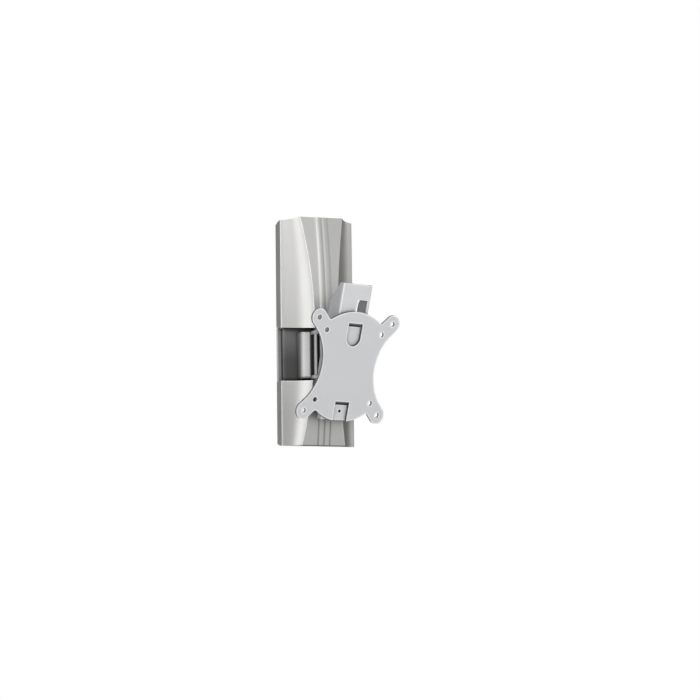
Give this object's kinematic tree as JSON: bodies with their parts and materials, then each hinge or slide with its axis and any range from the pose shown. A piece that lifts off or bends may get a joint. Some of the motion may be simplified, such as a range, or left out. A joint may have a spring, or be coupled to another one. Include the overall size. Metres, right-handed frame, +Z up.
{
  "type": "monitor wall mount",
  "caption": "Slim wall column with bowed silver covers, carrying a swivelling and tilting bracket and a four-armed plate that a flat screen screws onto.",
  "frame": {"origin": "on the wall face, at the middle of the column's height and width", "axes": "+X to the right seen from the room, +Y into the wall, +Z up along the column"},
  "size_m": [0.1227, 0.1026, 0.249],
  "materials": {
    "satin_silver": "brushed satin silver",
    "cast_silver": "fine blasted casting",
    "zinc_steel": "zinc plated sheet",
    "yoke_steel": "grey coated sheet",
    "grey_paint": "fine powder coat",
    "screw_steel": "zinc plated",
    "black_screw": "black oxide",
    "black_bush": "glossy black",
    "bearing_white": "plain bearing plastic"
  },
  "bodies": {
    "column": {"wall_plate": "zinc_steel", "upper_cover": "satin_silver", "lower_cover": "satin_silver", "cover_screws": "screw_steel", "pivot_block": "cast_silver", "pivot_block_screws": "screw_steel", "swivel_bush": "black_bush", "swivel_sleeve": "bearing_white", "bush_screws": "screw_steel"},
    "swivel_arm": {"yoke": "yoke_steel", "swivel_pin": "screw_steel", "swivel_washers": "bearing_white", "pin_washers": "screw_steel", "swivel_nut": "screw_steel", "tilt_bolt": "screw_steel", "tilt_nut": "screw_steel", "tilt_washers": "screw_steel", "friction_discs": "bearing_white", "tilt_spacer": "screw_steel"},
    "tilt_head": {"tilt_bracket": "grey_paint", "vesa_plate": "grey_paint", "lock_screw": "black_screw"}
  },
  "joints": [
    {"name": "swivel", "type": "hinge", "parent": "column", "child": "swivel_arm", "pos_m": [0, -0.0315, -0.026], "axis": [0, 0, 1], "range_deg": [-49.3, 10.7]},
    {"name": "tilt", "type": "hinge", "parent": "swivel_arm", "child": "tilt_head", "pos_m": [0.01077, -0.06227, -0.026], "axis": [0.9438, 0.3305, 0], "range_deg": [-22.8, 1.2]}
  ]
}
